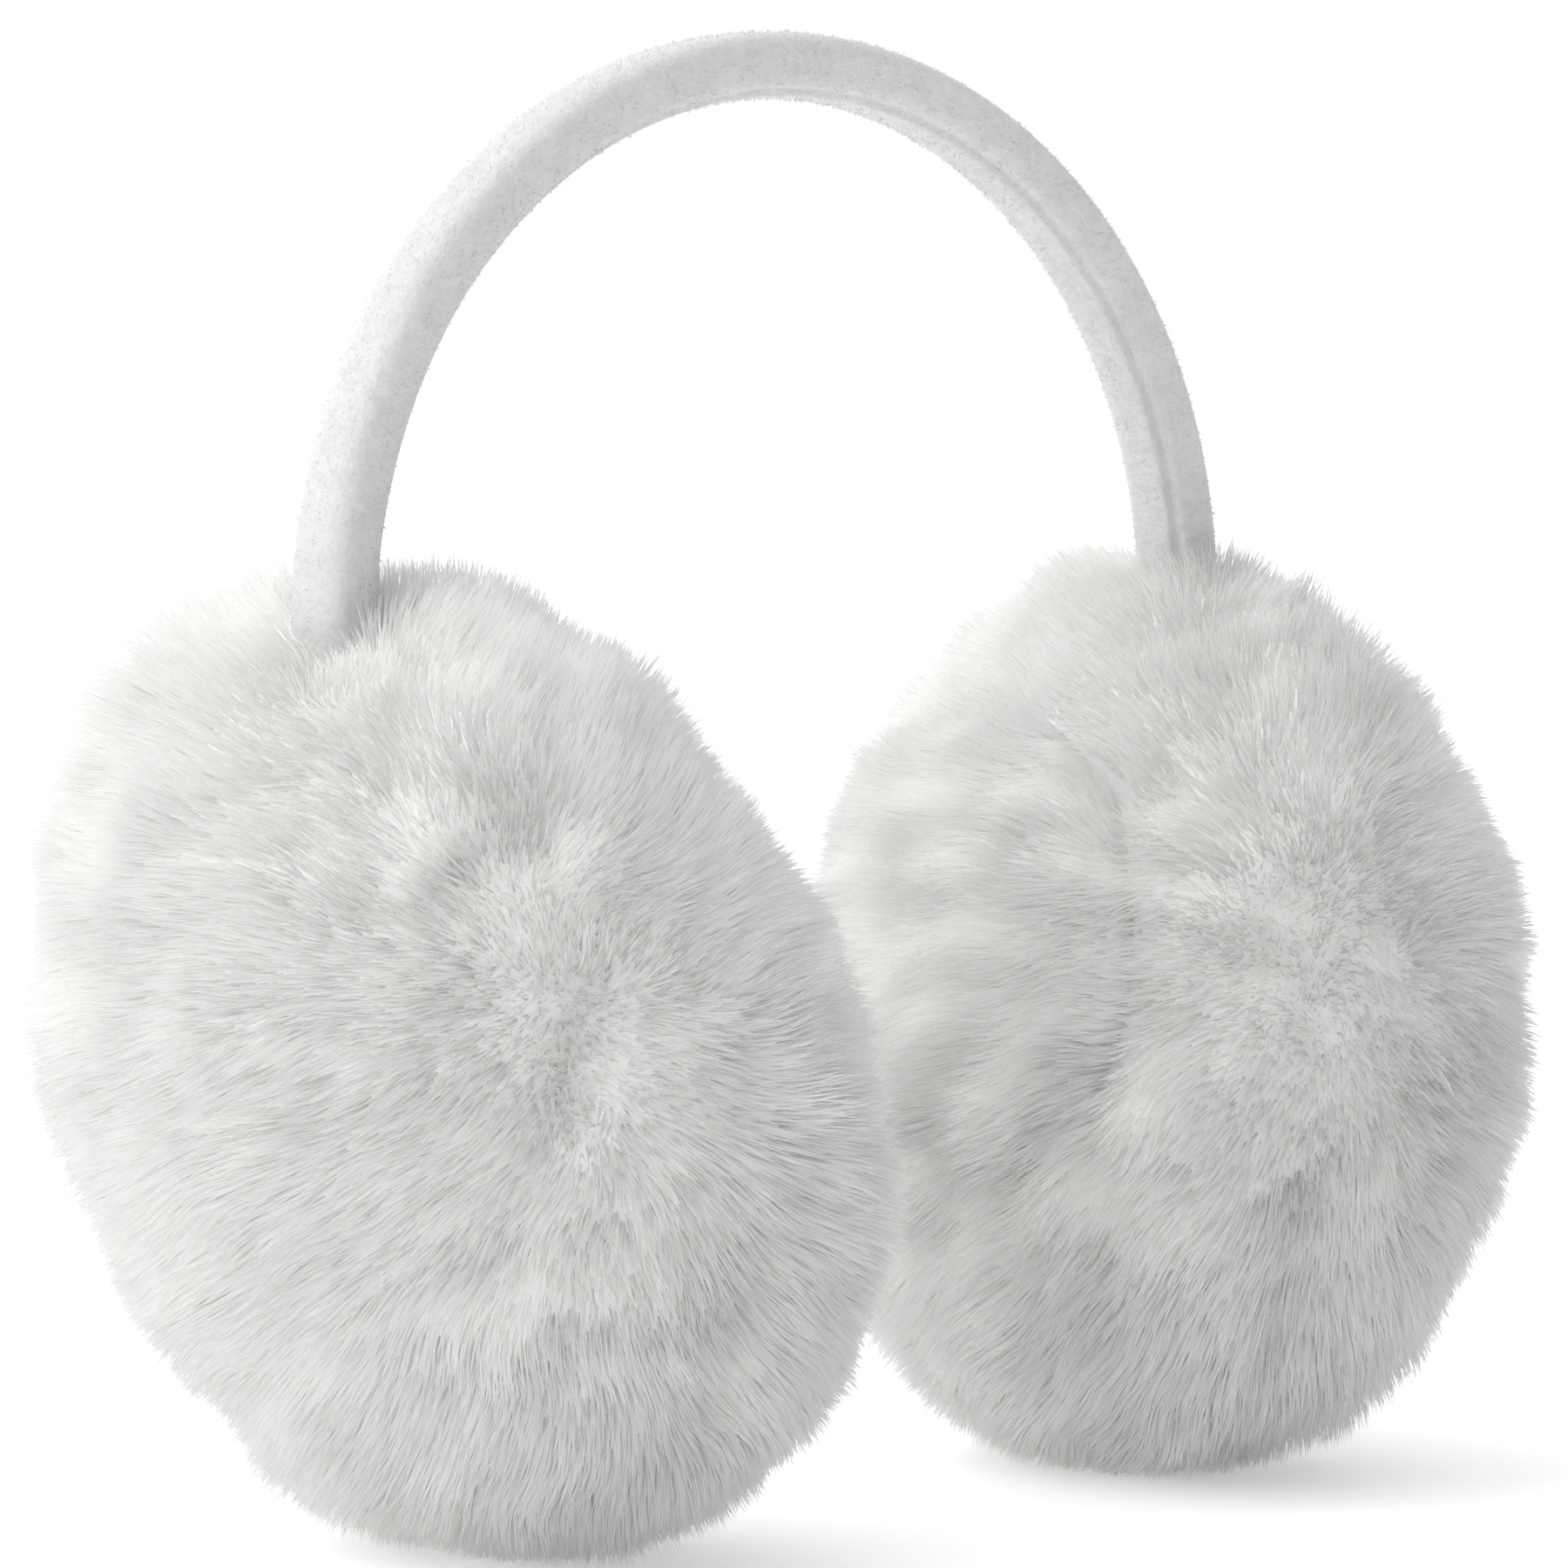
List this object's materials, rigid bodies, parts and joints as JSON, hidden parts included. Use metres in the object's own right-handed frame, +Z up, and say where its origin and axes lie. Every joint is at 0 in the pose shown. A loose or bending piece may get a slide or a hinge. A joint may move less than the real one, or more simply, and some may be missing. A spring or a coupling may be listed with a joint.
{
  "type": "fur earmuffs",
  "caption": "White faux-fur earmuffs: deep round fur cups with fur pads on the ear side, joined by a slim arched headband in short plush, standing on the cups.",
  "frame": {"origin": "on the floor, under the middle of the whole thing's bounding box", "axes": "+X from the left cup to the right cup, -Y the front, +Z up through the top of the headband"},
  "size_m": [0.2086, 0.1157, 0.1819],
  "materials": {
    "plush": "short brushed plush, matt",
    "fur": "deep soft faux fur, matt with a faint sheen",
    "ear_fur": "faux fur, a little shorter, matt"
  },
  "bodies": {
    "root": {"headband": "plush", "left_fur_cover": "fur", "right_fur_cover": "fur", "left_ear_panel": "ear_fur", "right_ear_panel": "ear_fur"}
  },
  "joints": []
}
